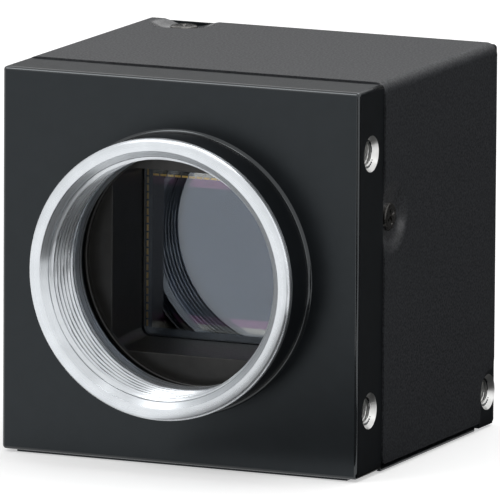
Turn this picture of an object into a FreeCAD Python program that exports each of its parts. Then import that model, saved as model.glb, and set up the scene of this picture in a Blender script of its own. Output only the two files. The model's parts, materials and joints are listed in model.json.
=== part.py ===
import FreeCAD, Part
import math
import os

# Machine vision camera: a machined front block with a C-mount ring, a folded sheet cover, a base
# plate and a rear panel round a stack of three boards. Millimetres. Everything is modelled from the
# centre of the lens flange: X to the right seen from behind the lens, Y backwards along the
# optical axis, Z up. The export moves it so that the origin is the middle of the base.

V = FreeCAD.Vector

# ---- Body -------------------------------------------------------------------------------------
BODY_WIDTH = 40.0
BODY_HEIGHT = 40.0
BODY_DEPTH = 36.0
BODY_EDGE_R = 0.4
FLANGE_HEIGHT = 5.2            # lens flange in front of the front face
SEAM = 0.1                     # open joint between cover, block and panel
FIT = 0.05                     # sliding clearance of parts that nest

# ---- Lens ring (C-mount) ----------------------------------------------------------------------
THREAD_MINOR_R = 12.27
FLANGE_FOCAL = 17.526          # flange to image plane
LEAD_IN = 1.1
THREAD_END = 6.1
RELIEF_LENGTH = 0.6
RELIEF_DEPTH = 0.5
RING_LENGTH = 8.0
RING_WALL = 1.43
RIM_LENGTH = 0.9
RIM_OVERHANG = 0.1
RIM_CHAMFER = 0.25

# ---- Front block ------------------------------------------------------------------------------
BLOCK_DEPTH = 6.2
COLLAR_WALL = 0.75
COLLAR_FOOT_R = 0.45
COLLAR_CHAMFER = 0.15
THROAT_STEP = 0.6
MASK_FACE = 10.2               # flange to the black face round the image window
SPIGOT_WALL = 1.2
SPIGOT_LENGTH = 3.0
POST_R = 2.0
POST_INSET = 3.8

# ---- Mounting threads M3 ----------------------------------------------------------------------
M3_CORE_R = 1.25
M3_SINK_R = 1.9
M3_DEPTH = 4.5
SIDE_HOLE_SPACING = 26.6
BASE_HOLE_SPACING_X = 20.0
BASE_HOLE_SPACING_Y = 22.0
BASE_BOSS_R = 2.5
BASE_BOSS_HEIGHT = 2.2
BASE_HOLE_RELIEF_R = 1.9

# ---- Image window, glass and sensor -----------------------------------------------------------
WINDOW_WIDTH = 19.6
WINDOW_HEIGHT = 19.1
WINDOW_TAPER = 0.48            # each side, front to back of the mask
WINDOW_CORNER_R = 1.0
MASK_WALL = 1.4
MASK_FLANGE_MARGIN = 4.2
MASK_FLANGE_T = 2.0
MASK_SCREW_OFFSET = 1.05
GASKET_T = 0.3
GASKET_INSET = 0.05
GLASS_T = 0.5
DIE_SINK = 0.4                 # image plane behind the package's front face
DIE_T = 0.6
DIE_MARGIN = 0.75
PACKAGE_WALL = 2.8
PACKAGE_FLOOR_T = 1.2

# ---- Boards and spacers -----------------------------------------------------------------------
BOARD_T = 1.2
BOARD_INSET = 2.0
SPACER_LENGTH = 6.0
SPACER_FLATS = 3.6
SPACER_STUD = 4.0
CHIP_SIZE = 15.0
CHIP_T = 1.9
MEMORY_WIDTH = 8.0
MEMORY_HEIGHT = 12.0
MEMORY_T = 1.0
MEMORY_SPACING = 15.0
LINK_WIDTH = 16.0
LINK_HEIGHT = 3.0
LINK_DROP = 11.0

# ---- Cover ------------------------------------------------------------------------------------
SHEET_T = 0.8
COVER_PROUD = 0.2
BEND_R = 1.2
SKIRT_RISE = 0.6               # skirt's lower edge above the block's underside
SKIRT_CORNER_R = 0.5
DIMPLE_R = 3.8
DIMPLE_FLOOR_R = 2.0
DIMPLE_DEPTH = 0.6
COVER_SCREW_SETBACK = 2.1      # from the cover's front or rear edge
SIDE_SCREW_HEIGHT = 6.0
TOP_SCREW_OFFSET = 14.6
LUG_HALF_WIDTH = 3.0
LUG_T = 2.6

# ---- Base plate -------------------------------------------------------------------------------
BASE_DROP = 0.15               # slab below the block's underside
PAD_DROP = 0.28                # pad below the block's underside
BASE_T = 1.6
BASE_SIDE_INSET = 0.1
PAD_INSET = 1.4
PAD_SETBACK = 0.8
TONGUE_T = 0.85
TAIL_HALF_WIDTH = 14.4
BASE_SCREW_INSET = 4.2
REAR_SCREW_SPACING = 18.0
BASE_SLIT = 0.8

# ---- Rear panel -------------------------------------------------------------------------------
PANEL_T = 3.0
LIP_T = 0.55
TAB_WIDTH = 5.2
TAB_HOLE_SETBACK = 1.9
TAB_HOLE_RISE = 3.5
NOTCH_R = 2.35
NOTCH_BLEND_R = 1.2
TOP_LUG_REACH = 2.2
BASE_LUG_REACH = 2.6
BASE_LUG_HEIGHT = 3.5
SOCKET_REACH = 3.8             # interface board to the panel's inner face

# ---- Rear sockets -----------------------------------------------------------------------------
DATA_HEIGHT = 10.5
DATA_WIDE = 7.8
DATA_NARROW = 4.6
DATA_TALL = 3.0
DATA_STEP = 0.6
DATA_WALL = 0.3
DATA_MOUTH_DEPTH = 4.8
DATA_LOCK_SPACING = 18.5
IO_INSET = 12.0                # from the body's right side
IO_DROP = 5.5
IO_SHELL_R = 5.9
IO_SHELL_WALL = 0.9
IO_FLANGE_R = 7.0
IO_FLANGE_T = 1.2
IO_REACH = 5.0                 # shell beyond the panel's outer face
IO_RECESS = 4.7
IO_PIN_R = 0.35
IO_PIN_LENGTH = 3.4
IO_PIN_CIRCLE_R = 2.9
IO_PINS = 6
IO_NUT_FLATS = 14.0
IO_NUT_T = 1.8
LAMP_INSET = 10.0              # from the body's left side
LAMP_R = 1.4
LAMP_PROUD = 0.35

# ---- Small screws -----------------------------------------------------------------------------
M2_R = 1.0
M2_HEAD_R = 1.45
M2_LOW_HEAD = 0.35
M2_PAN_HEAD = 0.9
M2_FLAT_HEAD_R = 1.7
M2_LENGTH = 3.2
M16_R = 0.8
M16_HEAD_R = 1.4
M16_HEAD = 0.6
M16_ENGAGEMENT = 2.6
SCREW_GAP = 0.03               # radial, thread in its hole
PASS_GAP = 0.15                # radial, shank through a plate

# ---- Planes and radii worked out from the sizes above -----------------------------------------
HALF_W = BODY_WIDTH / 2
HALF_H = BODY_HEIGHT / 2
Y_FACE = FLANGE_HEIGHT
Y_BLOCK = Y_FACE + BLOCK_DEPTH
Y_REAR = Y_FACE + BODY_DEPTH
Y_COVER = Y_BLOCK + SEAM
Y_LIP = Y_REAR - LIP_T
Y_COVER_END = Y_LIP - SEAM
Y_PANEL = Y_REAR - PANEL_T
Y_SHELL_END = Y_REAR + IO_REACH

BARREL_R = THREAD_MINOR_R + RING_WALL
SEAT_R = BARREL_R + SCREW_GAP
COLLAR_R = SEAT_R + COLLAR_WALL
RIM_R = COLLAR_R + RIM_OVERHANG
THROAT_R = THREAD_MINOR_R + THROAT_STEP

COVER_X = HALF_W + COVER_PROUD
COVER_Z = HALF_H + COVER_PROUD
INNER_X = COVER_X - SHEET_T
INNER_Z = COVER_Z - SHEET_T
SEAT_X = INNER_X - DIMPLE_DEPTH
SEAT_Z = INNER_Z - DIMPLE_DEPTH
SPIGOT_X = INNER_X - FIT
SPIGOT_Z = INNER_Z - FIT
Z_BASE_TOP = -HALF_H - BASE_DROP + BASE_T
Z_FLOOR = Z_BASE_TOP + FIT
Z_PAD = -HALF_H - PAD_DROP
Z_SKIRT = -HALF_H + SKIRT_RISE

Y_PACKAGE = FLANGE_FOCAL - DIE_SINK
Y_GLASS = Y_PACKAGE - GLASS_T
Y_GASKET = Y_GLASS - GASKET_T
Y_CAVITY = FLANGE_FOCAL + DIE_T
Y_SENSOR_BOARD = Y_CAVITY + PACKAGE_FLOOR_T
Y_PROCESSOR_BOARD = Y_SENSOR_BOARD + BOARD_T + SPACER_LENGTH
Y_INTERFACE_BOARD = Y_PANEL - SOCKET_REACH - BOARD_T
WINDOW_END_W = WINDOW_WIDTH - 2 * WINDOW_TAPER
WINDOW_END_H = WINDOW_HEIGHT - 2 * WINDOW_TAPER
PACKAGE_W = WINDOW_END_W + 2 * PACKAGE_WALL
PACKAGE_H = WINDOW_END_H + 2 * PACKAGE_WALL
FLANGE_W = WINDOW_WIDTH + 2 * MASK_FLANGE_MARGIN
FLANGE_H = WINDOW_HEIGHT + 2 * MASK_FLANGE_MARGIN
FLANGE_CORNER_R = WINDOW_CORNER_R + SCREW_GAP + 0.5 * MASK_WALL
BOARD_X = HALF_W - BOARD_INSET
BOARD_Z = HALF_H - BOARD_INSET
POST_X = HALF_W - POST_INSET
POST_Z = HALF_H - POST_INSET

Y_BLOCK_HOLE = Y_FACE + BLOCK_DEPTH / 2
Y_SIDE_SCREW = Y_COVER + COVER_SCREW_SETBACK
Y_TOP_SCREW = Y_COVER_END - COVER_SCREW_SETBACK
Y_TAB_HOLE = Y_REAR - TAB_HOLE_SETBACK
Z_TAB_HOLE = -HALF_H + TAB_HOLE_RISE
Y_TAB = Y_TAB_HOLE - NOTCH_R
Y_BASE_END = Y_TAB - BASE_SLIT
Y_BASE_SCREW = (Y_PANEL - BASE_LUG_REACH + Y_LIP) / 2
Y_PAD = Y_FACE + PAD_SETBACK
Z_IO = -IO_DROP
IO_X = HALF_W - IO_INSET
LAMP_X = LAMP_INSET - HALF_W

# The shell's own front and the base's underside give the row frame.
ROW_SHIFT = V(0, -Y_SHELL_END / 2, -Z_PAD)


# ---- Building blocks --------------------------------------------------------------------------
def box(x0, x1, y0, y1, z0, z1):
    return Part.makeBox(x1 - x0, y1 - y0, z1 - z0, V(x0, y0, z0))


def rod_x(y, z, radius, x0, x1):
    return Part.makeCylinder(radius, abs(x1 - x0), V(min(x0, x1), y, z), V(1, 0, 0))


def rod_y(x, z, radius, y0, y1):
    return Part.makeCylinder(radius, y1 - y0, V(x, y0, z), V(0, 1, 0))


def rod_z(x, y, radius, z0, z1):
    return Part.makeCylinder(radius, z1 - z0, V(x, y, z0), V(0, 0, 1))


def frustum(base, tip, base_r, tip_r):
    """Cone between two points, with a radius at each."""
    run = tip.sub(base)
    return Part.makeCone(base_r, tip_r, run.Length, base, run)


def turned(outline):
    """Solid of revolution round the optical axis from (radius, y) points."""
    points = [V(radius, y, 0) for radius, y in outline]
    face = Part.Face(Part.makePolygon(points + points[:1]))
    return face.revolve(V(0, 0, 0), V(0, 1, 0), 360)


def rounded_outline(width, height, radius, y, x=0.0, z=0.0):
    """Closed wire of a rectangle with round corners, square to the optical axis."""
    half_w, half_h = width / 2 - radius, height / 2 - radius
    centres = [(half_w, half_h, 0), (-half_w, half_h, 90), (-half_w, -half_h, 180), (half_w, -half_h, 270)]
    edges = []
    ends = []
    for cx, cz, start in centres:
        angles = [math.radians(start + step) for step in (0, 45, 90)]
        arc = [V(x + cx + radius * math.cos(a), y, z + cz + radius * math.sin(a)) for a in angles]
        if ends:
            edges.append(Part.LineSegment(ends[-1][2], arc[0]).toShape())
        edges.append(Part.Arc(*arc).toShape())
        ends.append(arc)
    edges.append(Part.LineSegment(ends[-1][2], ends[0][0]).toShape())
    return Part.Wire(edges)


def rounded_bar(width, height, radius, y0, y1, x=0.0, z=0.0):
    return Part.Face(rounded_outline(width, height, radius, y0, x, z)).extrude(V(0, y1 - y0, 0))


def tapered_hole(width0, height0, y0, width1, height1, y1, radius):
    ends = [rounded_outline(width0, height0, radius, y0), rounded_outline(width1, height1, radius, y1)]
    return Part.makeLoft(ends, True, True)


def hex_bar_y(x, z, flats, y0, y1):
    radius = flats / math.sqrt(3)
    points = [V(x + radius * math.cos(math.radians(60 * k)), y0, z + radius * math.sin(math.radians(60 * k)))
              for k in range(6)]
    return Part.Face(Part.makePolygon(points + points[:1])).extrude(V(0, y1 - y0, 0))


def corners(half_x, half_z):
    return [(sx * half_x, sz * half_z) for sx in (-1, 1) for sz in (-1, 1)]


def tapped_hole_x(side, y, z, x_face):
    """Blind M3 hole from an outer side face inwards, with its 90 degree countersink."""
    x_end = x_face - side * M3_DEPTH
    sink = M3_SINK_R - M3_CORE_R
    mouth = frustum(V(x_face + side * sink, y, z), V(x_face - side * sink, y, z),
                    M3_SINK_R + sink, M3_CORE_R)
    return rod_x(y, z, M3_CORE_R, x_face, x_end).fuse(mouth)


# ---- Front end --------------------------------------------------------------------------------
def front_block():
    slab = box(-HALF_W, HALF_W, Y_FACE, Y_BLOCK, -HALF_H, HALF_H)
    outer = [e for e in slab.Edges if e.BoundBox.YMin < Y_BLOCK - BODY_EDGE_R]
    shape = slab.makeFillet(BODY_EDGE_R, outer)
    shape = shape.fuse(collar_boss())
    shape = shape.fuse(cover_spigot())
    shape = shape.fuse([side_lug(side) for side in (-1, 1)])
    shape = shape.fuse([rod_y(x, z, POST_R, Y_BLOCK - SPIGOT_WALL, Y_SENSOR_BOARD)
                        for x, z in corners(POST_X, POST_Z)])
    cuts = [rod_y(0, 0, SEAT_R, 0, RING_LENGTH), rod_y(0, 0, THROAT_R, 0, Y_BLOCK)]
    cuts.append(rounded_bar(FLANGE_W + 2 * FIT, FLANGE_H + 2 * FIT, FLANGE_CORNER_R, MASK_FACE, Y_GASKET))
    cuts += [rod_y(x, z, M16_R + SCREW_GAP, MASK_FACE - M16_ENGAGEMENT - FIT, MASK_FACE)
             for x, z in mask_screw_places()]
    cuts += [rod_y(x, z, M2_R + SCREW_GAP, Y_SENSOR_BOARD - SPACER_STUD, Y_SENSOR_BOARD)
             for x, z in corners(POST_X, POST_Z)]
    cuts.append(box(-HALF_W + PAD_INSET - FIT, HALF_W - PAD_INSET + FIT, Y_PAD - FIT, Y_BLOCK,
                    -HALF_H, Z_PAD + TONGUE_T + FIT))
    for side in (-1, 1):
        cuts += [tapped_hole_x(side, Y_BLOCK_HOLE, end * SIDE_HOLE_SPACING / 2, side * HALF_W)
                 for end in (-1, 1)]
        cuts.append(rod_z(side * BASE_HOLE_SPACING_X / 2, Y_BLOCK_HOLE, M3_CORE_R,
                          -HALF_H, -HALF_H + M3_DEPTH))
        cuts.append(rod_z(side * (HALF_W - BASE_SCREW_INSET), Y_BLOCK_HOLE, M2_R + SCREW_GAP,
                          -HALF_H, Z_PAD + M2_LENGTH + FIT))
        cuts.append(rod_x(Y_SIDE_SCREW, SIDE_SCREW_HEIGHT, M2_R + SCREW_GAP,
                          side * (COVER_X - DIMPLE_DEPTH - M2_LENGTH - FIT), side * SEAT_X))
    return shape.cut(cuts)


def collar_boss():
    """Round boss that carries the ring, with a hollow fillet at its foot."""
    foot = [(COLLAR_R + COLLAR_FOOT_R * (1 - math.cos(a)), Y_FACE - COLLAR_FOOT_R * (1 - math.sin(a)))
            for a in [math.radians(30 * k) for k in range(4)]]
    outline = [(0, RIM_LENGTH), (COLLAR_R - COLLAR_CHAMFER, RIM_LENGTH),
               (COLLAR_R, RIM_LENGTH + COLLAR_CHAMFER)]
    outline += foot + [(COLLAR_R + COLLAR_FOOT_R, Y_BLOCK), (0, Y_BLOCK)]
    return turned(outline)


def cover_spigot():
    """Rim behind the block that the cover slips over, cut back at the two side dimples."""
    end = Y_BLOCK + SPIGOT_LENGTH
    outer = round_top(box(-SPIGOT_X, SPIGOT_X, Y_BLOCK, end, Z_FLOOR, SPIGOT_Z), SPIGOT_WALL / 2)
    inner = box(SPIGOT_WALL - SPIGOT_X, SPIGOT_X - SPIGOT_WALL, Y_BLOCK, end,
                Z_FLOOR + SPIGOT_WALL, SPIGOT_Z - SPIGOT_WALL)
    dents = [rod_x(Y_SIDE_SCREW, SIDE_SCREW_HEIGHT, DIMPLE_R + SHEET_T,
                   side * (SEAT_X - FIT), side * INNER_X) for side in (-1, 1)]
    return outer.cut([inner] + dents)


def side_lug(side):
    """Pad on the inside that a side cover screw threads into."""
    x_face = SEAT_X - FIT
    lug = box(x_face - LUG_T, x_face, Y_BLOCK, Y_SIDE_SCREW + LUG_HALF_WIDTH,
              SIDE_SCREW_HEIGHT - LUG_HALF_WIDTH, SIDE_SCREW_HEIGHT + LUG_HALF_WIDTH)
    return lug if side > 0 else lug.mirror(V(0, 0, 0), V(1, 0, 0))


def lens_mount_ring():
    """Turned C-mount ring: rim on the collar, barrel inside it, thread bore with a run-out."""
    bore_r = THREAD_MINOR_R
    relief_r = bore_r + RELIEF_DEPTH
    land = THREAD_END + RELIEF_LENGTH
    outline = [(bore_r + LEAD_IN, 0), (RIM_R - RIM_CHAMFER, 0), (RIM_R, RIM_CHAMFER), (RIM_R, RIM_LENGTH),
               (BARREL_R, RIM_LENGTH), (BARREL_R, RING_LENGTH), (bore_r, RING_LENGTH), (bore_r, land),
               (relief_r, land), (relief_r, THREAD_END), (bore_r, THREAD_END), (bore_r, LEAD_IN)]
    return turned(outline)


# ---- Image window and sensor ------------------------------------------------------------------
def mask_screw_places():
    reach = MASK_WALL + MASK_SCREW_OFFSET
    return corners(WINDOW_WIDTH / 2 + reach, WINDOW_HEIGHT / 2 + reach)


def sensor_mask():
    """Black frame behind the throat, with a rectangular tunnel down to the glass."""
    plate = rounded_bar(FLANGE_W, FLANGE_H, FLANGE_CORNER_R, MASK_FACE, MASK_FACE + MASK_FLANGE_T)
    tube = rounded_bar(WINDOW_WIDTH + 2 * MASK_WALL, WINDOW_HEIGHT + 2 * MASK_WALL,
                       WINDOW_CORNER_R + MASK_WALL, MASK_FACE, Y_GASKET)
    tunnel = tapered_hole(WINDOW_WIDTH, WINDOW_HEIGHT, MASK_FACE, WINDOW_END_W, WINDOW_END_H, Y_GASKET,
                          WINDOW_CORNER_R)
    holes = [rod_y(x, z, M16_R + PASS_GAP, MASK_FACE, MASK_FACE + MASK_FLANGE_T)
             for x, z in mask_screw_places()]
    return plate.fuse(tube).cut([tunnel] + holes)


def mask_screws():
    y_seat = MASK_FACE + MASK_FLANGE_T
    return [rod_y(x, z, M16_R, MASK_FACE - M16_ENGAGEMENT, y_seat).fuse(
            rod_y(x, z, M16_HEAD_R, y_seat, y_seat + M16_HEAD)) for x, z in mask_screw_places()]


def glass_gasket():
    outer = rounded_bar(WINDOW_WIDTH + 2 * MASK_WALL, WINDOW_HEIGHT + 2 * MASK_WALL,
                        WINDOW_CORNER_R + MASK_WALL, Y_GASKET, Y_GLASS)
    inner = rounded_bar(WINDOW_END_W + 2 * GASKET_INSET, WINDOW_END_H + 2 * GASKET_INSET,
                        WINDOW_CORNER_R, Y_GASKET, Y_GLASS)
    return outer.cut(inner)


def cover_glass():
    return box(-WINDOW_WIDTH / 2 - MASK_WALL, WINDOW_WIDTH / 2 + MASK_WALL, Y_GLASS, Y_PACKAGE,
               -WINDOW_HEIGHT / 2 - MASK_WALL, WINDOW_HEIGHT / 2 + MASK_WALL)


def sensor_package():
    """Ceramic tray that the die lies in, closed by the glass."""
    tray = rounded_bar(PACKAGE_W, PACKAGE_H, WINDOW_CORNER_R, Y_PACKAGE, Y_SENSOR_BOARD)
    cavity = rounded_bar(WINDOW_END_W, WINDOW_END_H, WINDOW_CORNER_R, Y_PACKAGE, Y_CAVITY)
    return tray.cut(cavity)


def sensor_die():
    half_w = WINDOW_END_W / 2 - DIE_MARGIN
    half_h = WINDOW_END_H / 2 - DIE_MARGIN
    return box(-half_w, half_w, FLANGE_FOCAL, Y_CAVITY, -half_h, half_h)


# ---- Boards -----------------------------------------------------------------------------------
def board(y):
    plate = rounded_bar(2 * BOARD_X, 2 * BOARD_Z, POST_R / 2, y, y + BOARD_T)
    return plate.cut([rod_y(x, z, M2_R + PASS_GAP, y, y + BOARD_T) for x, z in corners(POST_X, POST_Z)])


def spacers(y0, y1):
    """Hexagonal spacers from one board to the next, each with a stud in front and a thread behind."""
    made = []
    for x, z in corners(POST_X, POST_Z):
        stud = rod_y(x, z, M2_R, y0 - SPACER_STUD + FIT, y0)
        thread = rod_y(x, z, M2_R + SCREW_GAP, y1 - SPACER_STUD + BOARD_T, y1)
        made.append(hex_bar_y(x, z, SPACER_FLATS, y0, y1).fuse(stud).cut(thread))
    return made


def interface_screws():
    seat = Y_INTERFACE_BOARD + BOARD_T
    return [rod_y(x, z, M2_R, seat - M2_LENGTH, seat).fuse(rod_y(x, z, M2_HEAD_R, seat, seat + M2_PAN_HEAD))
            for x, z in corners(POST_X, POST_Z)]


def processor_chip():
    half = CHIP_SIZE / 2
    return box(-half, half, Y_PROCESSOR_BOARD - CHIP_T, Y_PROCESSOR_BOARD, -half, half)


def memory_chips():
    y0 = Y_PROCESSOR_BOARD + BOARD_T
    half_w, half_h = MEMORY_WIDTH / 2, MEMORY_HEIGHT / 2
    return [box(x - half_w, x + half_w, y0, y0 + MEMORY_T, -half_h, half_h)
            for x in (-MEMORY_SPACING / 2, MEMORY_SPACING / 2)]


def board_links():
    """Stacking connectors between neighbouring boards."""
    half_w, half_h = LINK_WIDTH / 2, LINK_HEIGHT / 2
    gaps = [(Y_SENSOR_BOARD + BOARD_T, Y_PROCESSOR_BOARD), (Y_PROCESSOR_BOARD + BOARD_T, Y_INTERFACE_BOARD)]
    return [box(-half_w, half_w, y0, y1, -LINK_DROP - half_h, -LINK_DROP + half_h) for y0, y1 in gaps]


# ---- Cover ------------------------------------------------------------------------------------
def notch_face(x, gap):
    """Outline, in a side plane, of the rear lower corner that the cover leaves to the panel's tab."""
    cos_a = (Y_COVER_END - NOTCH_BLEND_R - Y_TAB_HOLE) / (NOTCH_R + NOTCH_BLEND_R)
    angle = math.acos(cos_a)
    blend_y = Y_COVER_END - NOTCH_BLEND_R
    blend_z = Z_TAB_HOLE + (NOTCH_R + NOTCH_BLEND_R) * math.sin(angle)
    small, large = NOTCH_R - gap, NOTCH_BLEND_R + gap

    def round_hole(a):
        return V(x, Y_TAB_HOLE + small * math.cos(a), Z_TAB_HOLE + small * math.sin(a))

    def round_blend(a):
        return V(x, blend_y + large * math.cos(a), blend_z + large * math.sin(a))

    z_low = -HALF_H - SHEET_T if gap == 0 else -HALF_H
    foot = V(x, Y_TAB_HOLE - small, z_low)
    heel = V(x, blend_y + large, z_low)
    end = 2 * math.pi
    edges = [Part.LineSegment(foot, round_hole(math.pi)).toShape(),
             Part.Arc(round_hole(math.pi), round_hole((math.pi + angle) / 2), round_hole(angle)).toShape(),
             Part.Arc(round_blend(math.pi + angle), round_blend((math.pi + angle + end) / 2),
                      round_blend(end)).toShape(),
             Part.LineSegment(round_blend(end), heel).toShape(),
             Part.LineSegment(heel, foot).toShape()]
    return Part.Face(Part.Wire(edges))


def dimple_places():
    """Centre on the outer surface and inward direction of each cover screw's dimple."""
    sides = [(V(side * COVER_X, Y_SIDE_SCREW, SIDE_SCREW_HEIGHT), V(-side, 0, 0)) for side in (1, -1)]
    return sides + [(V(-TOP_SCREW_OFFSET, Y_TOP_SCREW, COVER_Z), V(0, 0, -1))]


def along(point, direction, distance):
    return point.add(V(direction).multiply(distance))


def top_cover():
    outer = box(-COVER_X, COVER_X, Y_COVER, Y_COVER_END, Z_SKIRT, COVER_Z)
    inner = box(-INNER_X, INNER_X, Y_COVER, Y_COVER_END, Z_SKIRT, INNER_Z)
    shell = round_top(outer, BEND_R).cut(round_top(inner, BEND_R - SHEET_T))
    shell = shell.makeFillet(SKIRT_CORNER_R, skirt_corner_edges(shell))
    envelope = box(-COVER_X, COVER_X, Y_COVER, Y_COVER_END, Z_SKIRT, COVER_Z)
    dents = []
    for centre, inward in dimple_places():
        floor = along(centre, inward, DIMPLE_DEPTH)
        dents.append(frustum(centre, floor, DIMPLE_R, DIMPLE_FLOOR_R))
        dents.append(Part.makeCylinder(M2_R + PASS_GAP, DIMPLE_DEPTH + SHEET_T, centre, inward))
        bump = frustum(along(centre, inward, SHEET_T / 2), along(floor, inward, SHEET_T),
                       DIMPLE_R + SHEET_T / 2, DIMPLE_FLOOR_R + SHEET_T / 2)
        shell = shell.fuse(bump.common(envelope))
    notches = [notch_face(side * COVER_X, 0).extrude(V(-side * SHEET_T, 0, 0)) for side in (-1, 1)]
    return shell.cut(dents + notches)


def round_top(shape, radius):
    top = [e for e in shape.Edges if e.BoundBox.ZLength < 1e-6 and e.BoundBox.XLength < 1e-6
           and abs(e.BoundBox.ZMin - shape.BoundBox.ZMax) < 1e-6]
    return shape.makeFillet(radius, top)


def skirt_corner_edges(shell):
    """The short edges through the sheet at the two front lower corners."""
    return [e for e in shell.Edges if e.BoundBox.YLength < 1e-6 and e.BoundBox.ZLength < 1e-6
            and abs(e.BoundBox.YMin - Y_COVER) < 1e-6 and abs(e.BoundBox.ZMin - Z_SKIRT) < 1e-6]


def cover_screws():
    made = []
    for centre, inward in dimple_places():
        seat = along(centre, inward, DIMPLE_DEPTH)
        head = Part.makeCylinder(M2_HEAD_R, M2_LOW_HEAD, along(seat, inward, -M2_LOW_HEAD), inward)
        made.append(head.fuse(Part.makeCylinder(M2_R, M2_LENGTH, seat, inward)))
    return made


# ---- Base -------------------------------------------------------------------------------------
def base_screw_places():
    front = [(side * (HALF_W - BASE_SCREW_INSET), Y_BLOCK_HOLE) for side in (-1, 1)]
    return front + [(side * REAR_SCREW_SPACING / 2, Y_BASE_SCREW) for side in (-1, 1)]


def base_hole_places():
    half = BASE_HOLE_SPACING_X / 2
    return [(side * half, y) for y in (Y_BLOCK_HOLE, Y_BLOCK_HOLE + BASE_HOLE_SPACING_Y) for side in (-1, 1)]


def base_plate():
    """Milled floor: a slab between the skirts, a pad that stands proud, a tongue and a tail."""
    half_slab = HALF_W - BASE_SIDE_INSET
    half_pad = HALF_W - PAD_INSET
    shape = box(-half_slab, half_slab, Y_COVER, Y_BASE_END, -HALF_H - BASE_DROP, Z_SKIRT - FIT)
    shape = shape.fuse(box(-SPIGOT_X, SPIGOT_X, Y_COVER, Y_BASE_END, -HALF_H, Z_BASE_TOP))
    shape = shape.fuse(box(-half_pad, half_pad, Y_PAD, Y_BASE_END, Z_PAD, Z_PAD + TONGUE_T))
    shape = shape.fuse(box(-TAIL_HALF_WIDTH, TAIL_HALF_WIDTH, Y_BASE_END, Y_COVER_END, Z_PAD, Z_BASE_TOP))
    rear_holes = base_hole_places()[2:]
    z_boss = Z_BASE_TOP + BASE_BOSS_HEIGHT
    shape = shape.fuse([rod_z(x, y, BASE_BOSS_R, Z_BASE_TOP, z_boss) for x, y in rear_holes])
    cuts = [rod_z(x, y, M3_CORE_R, Z_PAD, z_boss) for x, y in rear_holes]
    cuts += [rod_z(x, y, BASE_HOLE_RELIEF_R, Z_PAD, Z_PAD + TONGUE_T) for x, y in base_hole_places()[:2]]
    for x, y in base_screw_places():
        cuts.append(rod_z(x, y, M2_R + PASS_GAP, Z_PAD, Z_BASE_TOP))
        cuts.append(frustum(V(x, y, Z_PAD), V(x, y, Z_PAD + M2_FLAT_HEAD_R - M2_R), M2_FLAT_HEAD_R, M2_R))
    return shape.cut(cuts)


def base_screws():
    made = []
    for x, y in base_screw_places():
        cone_end = Z_PAD + M2_FLAT_HEAD_R - M2_R
        head = frustum(V(x, y, Z_PAD), V(x, y, cone_end), M2_FLAT_HEAD_R, M2_R)
        made.append(head.fuse(rod_z(x, y, M2_R, cone_end, Z_PAD + M2_LENGTH)))
    return made


# ---- Rear panel and sockets -------------------------------------------------------------------
def rear_panel():
    """Plate inside the cover's end, with a lip over the cover's edge, corner tabs and screw lugs."""
    lip = rounded_bar(BODY_WIDTH, BODY_HEIGHT, BODY_EDGE_R, Y_LIP, Y_REAR)
    lip = lip.makeChamfer(LIP_T / 2, [e for e in lip.Edges if abs(e.BoundBox.YMin - Y_REAR) < 1e-6])
    plate = round_top(box(-SPIGOT_X, SPIGOT_X, Y_PANEL, Y_LIP, Z_FLOOR, SPIGOT_Z), SPIGOT_WALL / 2)
    shape = lip.fuse(plate)
    shape = shape.fuse([panel_tab(side) for side in (-1, 1)])
    x = -TOP_SCREW_OFFSET
    shape = shape.fuse(box(x - LUG_HALF_WIDTH, x + LUG_HALF_WIDTH, Y_PANEL - TOP_LUG_REACH, Y_LIP,
                           SEAT_Z - FIT - LUG_T, SEAT_Z - FIT))
    for side in (-1, 1):
        x = side * REAR_SCREW_SPACING / 2
        shape = shape.fuse(box(x - LUG_HALF_WIDTH, x + LUG_HALF_WIDTH, Y_PANEL - BASE_LUG_REACH, Y_LIP,
                               Z_FLOOR, Z_FLOOR + BASE_LUG_HEIGHT))
    return shape.cut(panel_cuts())


def panel_tab(side):
    """Corner block, flush with the body's side, that fills the cover's notch."""
    return notch_face(side * HALF_W, SEAM).extrude(V(-side * TAB_WIDTH, 0, 0))


def panel_cuts():
    dimple = rod_z(-TOP_SCREW_OFFSET, Y_TOP_SCREW, DIMPLE_R + SHEET_T, SEAT_Z - FIT, HALF_H)
    cuts = [dimple.common(box(-HALF_W, HALF_W, Y_PANEL - TOP_LUG_REACH, Y_LIP, -HALF_H, HALF_H))]
    cuts.append(rod_z(-TOP_SCREW_OFFSET, Y_TOP_SCREW, M2_R + SCREW_GAP,
                      COVER_Z - DIMPLE_DEPTH - M2_LENGTH - FIT, SEAT_Z))
    for side in (-1, 1):
        cuts.append(tapped_hole_x(side, Y_TAB_HOLE, Z_TAB_HOLE, side * HALF_W))
        cuts.append(rod_z(side * REAR_SCREW_SPACING / 2, Y_BASE_SCREW, M2_R + SCREW_GAP,
                          Z_BASE_TOP, Z_PAD + M2_LENGTH + FIT))
        cuts.append(rod_y(side * DATA_LOCK_SPACING / 2, DATA_HEIGHT, M16_R, Y_PANEL, Y_REAR))
    cuts.append(data_outline(FIT, Y_PANEL, Y_REAR))
    cuts.append(rod_y(IO_X, Z_IO, IO_SHELL_R + FIT, Y_PANEL, Y_REAR))
    cuts.append(rod_y(LAMP_X, Z_IO, LAMP_R + FIT, Y_PANEL, Y_REAR))
    return cuts


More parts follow.
